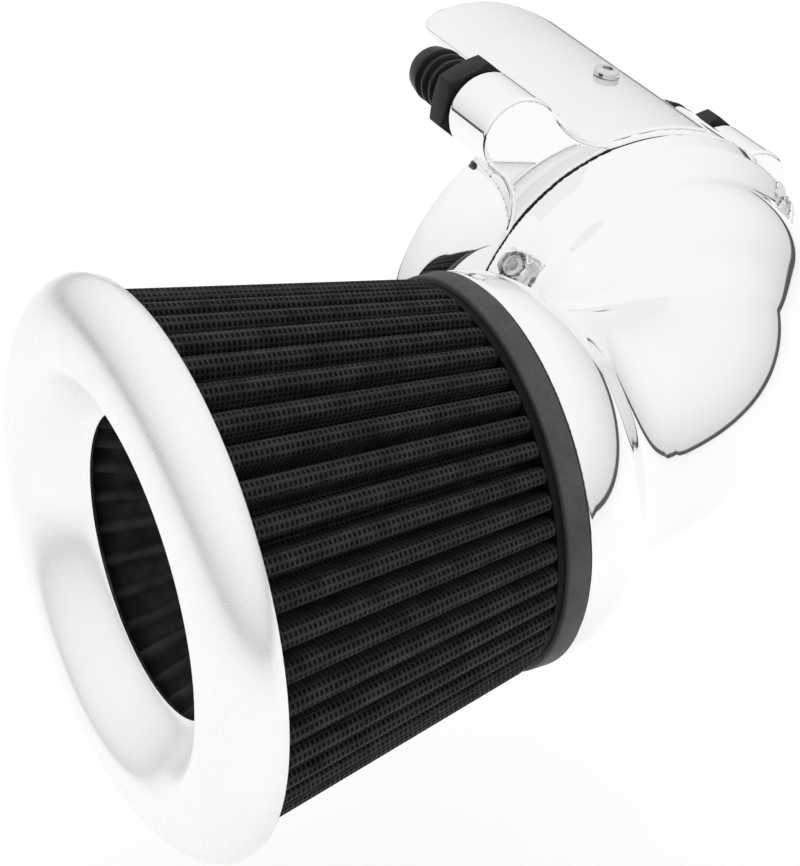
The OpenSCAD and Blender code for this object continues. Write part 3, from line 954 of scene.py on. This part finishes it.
def build_fitting(name, node, lobe):
    """A hexagon body with chamfered corners, a threaded end and a barbed hose end."""
    seal, hex_t, corner, barb, root, pitch, length = 2.0, 8.0, 22 / math.sqrt(3), 8.0, 6.5, 4.1, 21.0
    origin = (lobe[0], 0, lobe[1])
    back = (0, 1, 0)
    body = prism(name, polygon(6, corner), (lobe[0], seal, lobe[1]), back, hex_t, turn=-16)
    trim = lathe("trim", [(10.6, seal), (corner + 0.05, seal + 1.0), (corner + 0.05, seal + hex_t - 1.0),
                          (10.6, seal + hex_t)], origin, back, 64)
    combine(body, [trim], "INTERSECT")
    round_edges(body, 0.35)
    start = seal + hex_t
    profile = [(5.4, -8.0)]
    for i in range(7):
        profile += [(5.4, -7.8 + i), (5.98, -7.3 + i)]
    profile += [(5.6, -0.5), (5.98, 1.0), (root, start - 0.5), (root, start + 1.9)]
    for i in range(4):
        at = start + 2.2 + i * pitch
        profile += [(root + 0.2, at - 0.2), (barb - 0.25, at + 0.05), (barb, at + 0.35), (barb, at + 1.0)]
        slope_end = pitch - 0.35 if i < 3 else length - 3.2 - 3 * pitch
        profile.append((root + (0.1 if i < 3 else 0.55), at + slope_end))
    profile += [(6.6, start + length - 0.3), (5.9, start + length), (4.02, start + length)]
    stem = lathe("stem", profile, origin, back, 72)
    combine(body, [stem], "UNION")
    bore = [(4.0, -9), (4.0, start + length - 0.6), (5.2, start + length + 0.4)]
    hole = lathe("hole", bore, origin, back, 48)
    combine(body, [hole], "DIFFERENCE")
    soften(body, 38)
    keep(body, node, "intake", "black_nylon")


# ---------------------------------------------------------------- the CAD's own pieces


def finish_cad_nodes():
    """Gives each carried over CAD node the material of its record slot."""
    slots = {
        "front_end_ring": "potting", "rear_end_ring": "potting", "cone_end_cap": "potting",
        "inner_screen": "screen_steel", "inner_cone_screen": "screen_steel",
        "retaining_bolt": "fastener_steel", "retaining_washer": "fastener_steel",
        "retaining_spider": "bracket_steel", "elbow_gasket": "seal_rubber",
        "flange_screw_washers": "fastener_steel", "throttle_seal": "seal_rubber",
        "throttle_screw_washers": "fastener_steel", "left_fitting_seal": "seal_rubber",
        "right_fitting_seal": "seal_rubber",
    }
    for node, slot in slots.items():
        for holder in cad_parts[node].material_slots:
            holder.material = FINISHES[slot]


# ---------------------------------------------------------------- studio


def build_camera():
    """Three quarter view from the front left, above the mouth of the filter."""
    azimuth, height, away = math.radians(-28.06), math.radians(31.62), 0.7561
    aim = Vector((-0.10212, AXIS_Y * MM, 0.0185))
    level = math.cos(height)
    back = Vector((math.sin(azimuth) * level, -math.cos(azimuth) * level, math.sin(height)))
    camera = bpy.data.objects.new("camera", bpy.data.cameras.new("camera"))
    camera.data.lens = 123.4
    camera.data.sensor_width = 36
    camera.location = aim + back * away
    roll = Matrix.Rotation(math.radians(-0.28), 3, "Z")
    camera.rotation_euler = ((-back).to_track_quat("-Z", "Y").to_matrix() @ roll).to_euler()
    bpy.context.scene.collection.objects.link(camera)
    bpy.context.scene.camera = camera


def build_world():
    """A white tent, a little greyer towards the horizon and dark below it."""
    world = bpy.data.worlds.new("tent")
    bpy.context.scene.world = world
    world.use_nodes = True
    tree = world.node_tree
    place = tree.nodes.new("ShaderNodeTexCoord")
    split = tree.nodes.new("ShaderNodeSeparateXYZ")
    ramp = tree.nodes.new("ShaderNodeValToRGB")
    height = tree.nodes.new("ShaderNodeMapRange")
    height.inputs["From Min"].default_value = -1
    tree.links.new(place.outputs["Generated"], split.inputs[0])
    tree.links.new(split.outputs["Z"], height.inputs["Value"])
    tree.links.new(height.outputs["Result"], ramp.inputs["Fac"])
    tree.links.new(ramp.outputs["Color"], tree.nodes["Background"].inputs["Color"])
    stops = ((0.0, 0.1), (0.474, 0.1), (0.48, 0.72), (0.56, 0.84), (0.7, 0.96), (0.85, 1.02))
    while len(ramp.color_ramp.elements) < len(stops):
        ramp.color_ramp.elements.new(0.5)
    for element, (position, value) in zip(ramp.color_ramp.elements, stops):
        element.position = position
        element.color = (*grey(value), 1)
    tree.nodes["Background"].inputs["Strength"].default_value = 1.0


def area_light(name, place, aim, size, power):
    light = bpy.data.objects.new(name, bpy.data.lights.new(name, "AREA"))
    light.data.shape = "RECTANGLE"
    light.data.size, light.data.size_y = size
    light.data.energy = power
    light.location = place
    light.visible_glossy = False
    light.rotation_euler = (Vector(aim) - Vector(place)).to_track_quat("-Z", "Y").to_euler()
    bpy.context.scene.collection.objects.link(light)


def build_floor(height):
    """A wide, flat, pale disc below the object."""
    m = Nodes("pale floor", Roughness=0.9, Specular_IOR_Level=0.1)
    tone = m.colours(m.noise(1.5, 3), (0.3, grey(0.93)), (0.7, grey(0.95)))
    material = m.finish(tone, m.spread(m.noise(6, 3), 0.85, 0.95))
    piece = lathe("floor", [(0.02, 0), (2500, 0), (2501, -1), (0.02, -1)], (0, 0, height), (0, 0, 1), 96)
    piece.data.materials.append(material)


def build_studio():
    low, high = cad_box
    build_floor(low[2] / MM - 160)
    middle = (Vector(low) + Vector(high)) / 2
    area_light("key", middle + Vector((-0.5, -0.9, 1.5)), middle, (1.4, 1.0), 3.0)
    area_light("right", middle + Vector((1.5, -0.5, 0.8)), middle, (1.0, 1.4), 1.5)
    area_light("top", middle + Vector((0.1, 0.5, 1.6)), middle, (1.6, 1.2), 3.0)


# ---------------------------------------------------------------- the object


build_camera()
bpy.context.scene.view_settings.view_transform = "Standard"
build_world()
build_studio()
finish_cad_nodes()
build_ring()
build_base()
build_media()
build_elbow()
build_manifold()
build_panel()
build_screws()
build_fitting("left_barb_fitting", "left_breather_fitting", LEFT_LOBE)
build_fitting("right_barb_fitting", "right_breather_fitting", RIGHT_LOBE)
